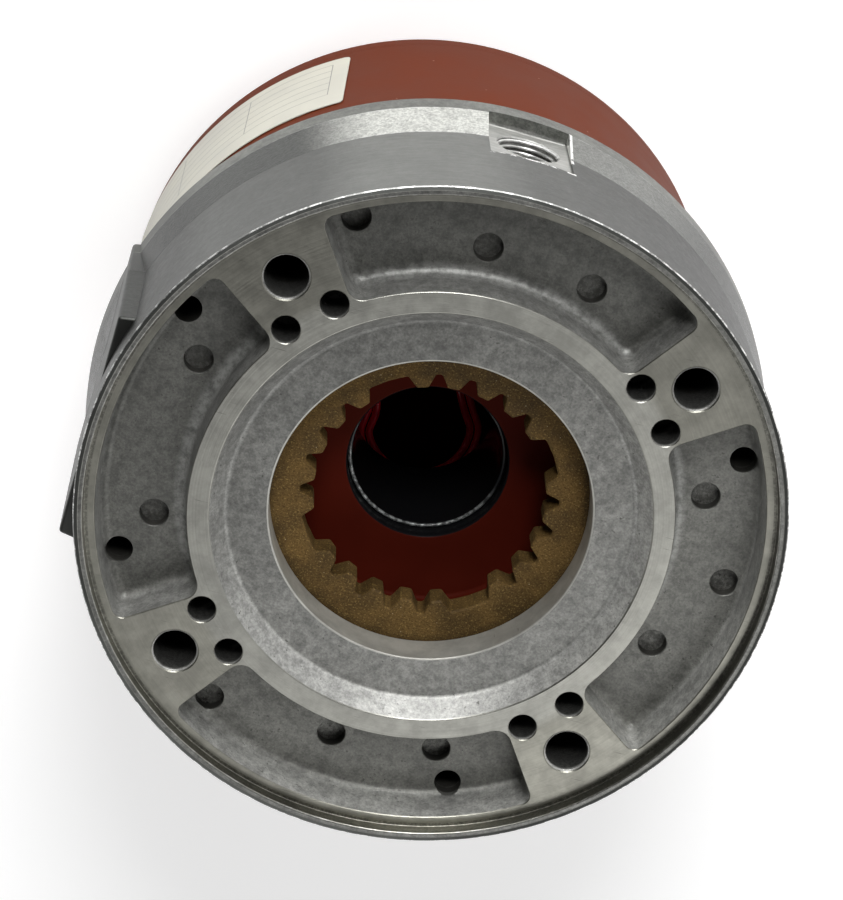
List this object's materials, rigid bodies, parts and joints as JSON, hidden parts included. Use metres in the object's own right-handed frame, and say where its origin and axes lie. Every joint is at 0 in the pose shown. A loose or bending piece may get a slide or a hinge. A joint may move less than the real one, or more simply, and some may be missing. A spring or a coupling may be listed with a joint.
{
  "type": "spring applied brake",
  "caption": "Spring applied motor brake: round cast flange housing with pilot recess and bolt pads, splined friction disc, and a magnet body with coil, springs and pins behind it.",
  "frame": {"origin": "centre of the rear cover's flat outer face, on the brake axis", "axes": "+Z along the brake axis towards the mounting pads, +Y towards the conduit entry, -X towards the side boss"},
  "size_m": [0.2266, 0.2266, 0.1905],
  "materials": {
    "cast_aluminium": "as cast grey aluminium with machined pads, ring and lip",
    "red_paint": "brownish red satin paint",
    "friction_lining": "speckled brown pressed friction lining",
    "ground_steel": "ground steel",
    "screw_steel": "zinc plated steel",
    "spring_steel": "drawn spring wire",
    "black_oxide_steel": "black oxide",
    "copper_wire": "varnished copper magnet wire",
    "black_plastic": "black moulded plastic",
    "gloss_black_sleeve": "gloss black",
    "black_rubber": "black rubber",
    "red_lead_insulation": "red lead insulation",
    "label_white": "blank cream white label"
  },
  "bodies": {
    "stator": {"flange_housing": "cast_aluminium", "magnet_body": "red_paint", "rear_cover": "red_paint", "rear_gasket": "black_rubber", "torque_pin_1": "ground_steel", "torque_pin_2": "ground_steel", "torque_pin_3": "ground_steel", "torque_pin_4": "ground_steel", "brake_spring_1": "spring_steel", "brake_spring_2": "spring_steel", "brake_spring_3": "spring_steel", "brake_spring_4": "spring_steel", "brake_spring_5": "spring_steel", "brake_spring_6": "spring_steel", "coil_potting": "black_plastic", "coil_bobbin": "black_plastic", "coil_winding": "copper_wire", "bore_sleeve": "gloss_black_sleeve", "lead_grommet": "black_rubber", "lead_wire_1": "red_lead_insulation", "lead_wire_2": "red_lead_insulation", "terminal_block": "black_plastic", "terminal_screw_1": "screw_steel", "terminal_screw_2": "screw_steel", "terminal_fixing_screw_1": "screw_steel", "terminal_fixing_screw_2": "screw_steel", "housing_screw_1": "black_oxide_steel", "housing_screw_2": "black_oxide_steel", "housing_screw_3": "black_oxide_steel", "housing_screw_4": "black_oxide_steel", "cover_screw_1": "black_oxide_steel", "cover_screw_2": "black_oxide_steel", "cover_screw_3": "black_oxide_steel", "cover_screw_4": "black_oxide_steel", "cover_screw_5": "black_oxide_steel", "cover_screw_6": "black_oxide_steel", "nameplate_label": "label_white"},
    "armature": {"armature_plate": "ground_steel"},
    "rotor": {"friction_disc": "friction_lining"}
  },
  "joints": [
    {"name": "armature_slide", "type": "slide", "parent": "stator", "child": "armature", "axis": [0, 0, -1], "range_m": [0, 0.0009], "stiffness_N_per_m": 2000, "springref_m": -0.012, "deforming": ["brake_spring_1", "brake_spring_2", "brake_spring_3", "brake_spring_4", "brake_spring_5", "brake_spring_6"]},
    {"name": "disc_spin", "type": "hinge", "parent": "stator", "child": "rotor", "pos_m": [0, 0, 0.1607], "axis": [0, 0, 1], "continuous": true}
  ]
}
